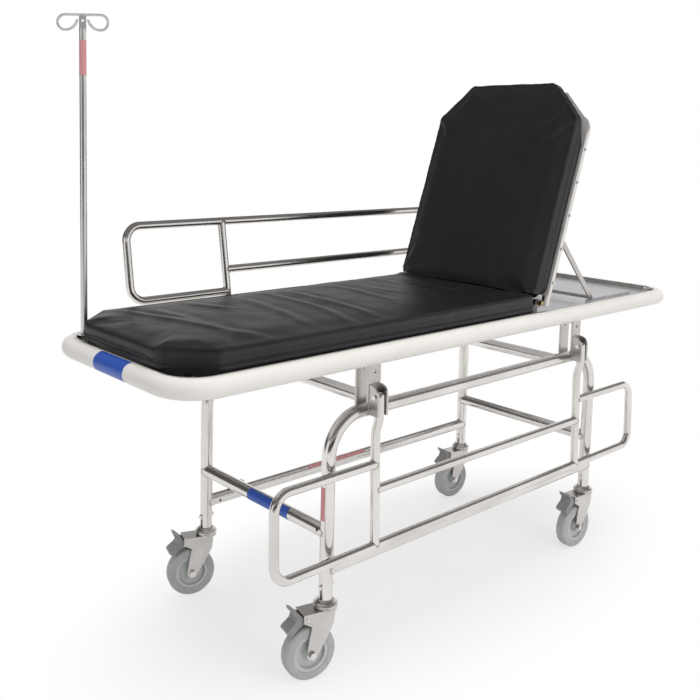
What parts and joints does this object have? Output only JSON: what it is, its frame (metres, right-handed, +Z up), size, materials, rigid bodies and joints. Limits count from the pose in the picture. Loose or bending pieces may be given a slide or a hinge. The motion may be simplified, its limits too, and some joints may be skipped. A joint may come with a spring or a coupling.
{
  "type": "patient transport stretcher",
  "caption": "Wheeled hospital transport stretcher with tubular steel frame, padded deck in a bumper rim, propped tilting backrest, swing-down side rails, infusion pole and braked casters.",
  "frame": {"origin": "on the floor, at the centre of the wheelbase and of the track", "axes": "+X to the head end along the deck, +Y to the far side with the raised rail, +Z up"},
  "size_m": [1.93, 0.649, 1.493],
  "materials": {
    "polished_steel": "polished stainless",
    "plated_steel": "satin plated",
    "sheet": "satin stainless",
    "brass_pin": "satin",
    "bumper": "satin",
    "vinyl": "satin vinyl",
    "tread": "satin",
    "core": "satin",
    "pedal": "satin"
  },
  "bodies": {
    "base": {"side_frame_near": "polished_steel", "side_frame_far": "polished_steel", "lower_side_tubes": "polished_steel", "lower_cross_tubes": "polished_steel", "upper_cross_tubes": "polished_steel", "hangers": "polished_steel", "hanger_bolts": "plated_steel", "deck_frame": "polished_steel", "deck_panel": "sheet", "bumper": "bumper", "pole_sockets": "polished_steel", "seat_pad": "vinyl", "racks": "polished_steel", "rail_brackets": "polished_steel", "rail_pins": "polished_steel", "hinge_brackets": "polished_steel", "hinge_pins": "brass_pin", "caster_stems": "polished_steel", "stem_bolts": "plated_steel", "king_nuts": "plated_steel", "pole_clip": "polished_steel"},
    "back": {"back_frame": "polished_steel", "back_panel": "polished_steel", "back_pad": "vinyl", "back_screws": "plated_steel", "prop_pins": "polished_steel"},
    "prop": {"prop_bail": "polished_steel"},
    "rail_near": {"rail_near": "polished_steel"},
    "rail_far": {"rail_far": "polished_steel"},
    "pole": {"iv_pole": "polished_steel", "iv_hook": "polished_steel"},
    "fork_foot_far": {"fork_foot_far": "plated_steel", "axle_foot_far": "plated_steel"},
    "wheel_foot_far": {"tyre_foot_far": "tread", "core_foot_far": "core"},
    "pedal_foot_far": {"pedal_foot_far": "pedal"},
    "fork_foot_near": {"fork_foot_near": "plated_steel", "axle_foot_near": "plated_steel"},
    "wheel_foot_near": {"tyre_foot_near": "tread", "core_foot_near": "core"},
    "pedal_foot_near": {"pedal_foot_near": "pedal"},
    "fork_head_far": {"fork_head_far": "plated_steel", "axle_head_far": "plated_steel"},
    "wheel_head_far": {"tyre_head_far": "tread", "core_head_far": "core"},
    "pedal_head_far": {"pedal_head_far": "pedal"},
    "fork_head_near": {"fork_head_near": "plated_steel", "axle_head_near": "plated_steel"},
    "wheel_head_near": {"tyre_head_near": "tread", "core_head_near": "core"},
    "pedal_head_near": {"pedal_head_near": "pedal"}
  },
  "joints": [
    {"name": "back_tilt", "type": "hinge", "parent": "base", "child": "back", "pos_m": [0.2706, 0, 0.775], "axis": [0, 1, 0], "range_deg": [0, 71.3]},
    {"name": "prop_fold", "type": "hinge", "parent": "back", "child": "prop", "pos_m": [0.358, 0, 0.9724], "axis": [0, 1, 0], "range_deg": [-119.5, 0]},
    {"name": "rail_near_swing", "type": "hinge", "parent": "base", "child": "rail_near", "pos_m": [0, -0.278, 0.64], "axis": [1, 0, 0], "range_deg": [-169.1, 0]},
    {"name": "rail_far_swing", "type": "hinge", "parent": "base", "child": "rail_far", "pos_m": [0, 0.278, 0.64], "axis": [1, 0, 0], "range_deg": [-169.1, 0]},
    {"name": "pole_lift", "type": "slide", "parent": "base", "child": "pole", "axis": [0, 0, 1], "range_m": [0, 0.06]},
    {"name": "swivel_foot_far", "type": "hinge", "parent": "base", "child": "fork_foot_far", "pos_m": [-0.5355, 0.2388, 0.165], "axis": [0, 0, 1], "continuous": true},
    {"name": "spin_foot_far", "type": "hinge", "parent": "fork_foot_far", "child": "wheel_foot_far", "pos_m": [-0.57512, 0.25275, 0.0635], "axis": [0.3322, 0.9432, 0], "continuous": true},
    {"name": "brake_foot_far", "type": "hinge", "parent": "fork_foot_far", "child": "pedal_foot_far", "pos_m": [-0.58738, 0.25707, 0.1491], "axis": [-0.3322, -0.9432, 0], "range_deg": [0, 8]},
    {"name": "swivel_foot_near", "type": "hinge", "parent": "base", "child": "fork_foot_near", "pos_m": [-0.5355, -0.2388, 0.165], "axis": [0, 0, 1], "continuous": true},
    {"name": "spin_foot_near", "type": "hinge", "parent": "fork_foot_near", "child": "wheel_foot_near", "pos_m": [-0.57625, -0.22864, 0.0635], "axis": [0.2419, 0.9703, 0], "continuous": true},
    {"name": "brake_foot_near", "type": "hinge", "parent": "fork_foot_near", "child": "pedal_foot_near", "pos_m": [-0.58887, -0.22549, 0.1491], "axis": [-0.2419, -0.9703, 0], "range_deg": [0, 8]},
    {"name": "swivel_head_far", "type": "hinge", "parent": "base", "child": "fork_head_far", "pos_m": [0.5355, 0.2388, 0.165], "axis": [0, 0, 1], "continuous": true},
    {"name": "spin_head_far", "type": "hinge", "parent": "fork_head_far", "child": "wheel_head_far", "pos_m": [0.49376, 0.24348, 0.0635], "axis": [0.1115, 0.9938, 0], "continuous": true},
    {"name": "brake_head_far", "type": "hinge", "parent": "fork_head_far", "child": "pedal_head_far", "pos_m": [0.48084, 0.24493, 0.1491], "axis": [-0.1115, -0.9938, 0], "range_deg": [0, 8]},
    {"name": "swivel_head_near", "type": "hinge", "parent": "base", "child": "fork_head_near", "pos_m": [0.5355, -0.2388, 0.165], "axis": [0, 0, 1], "continuous": true},
    {"name": "spin_head_near", "type": "hinge", "parent": "fork_head_near", "child": "wheel_head_near", "pos_m": [0.4936, -0.23587, 0.0635], "axis": [0.0698, 0.9976, 0], "continuous": true},
    {"name": "brake_head_near", "type": "hinge", "parent": "fork_head_near", "child": "pedal_head_near", "pos_m": [0.48063, -0.23496, 0.1491], "axis": [-0.0698, -0.9976, 0], "range_deg": [0, 8]}
  ],
  "couplings": [
    {"joint": "prop_fold", "follows": "back_tilt", "ratio": -1.6708}
  ]
}
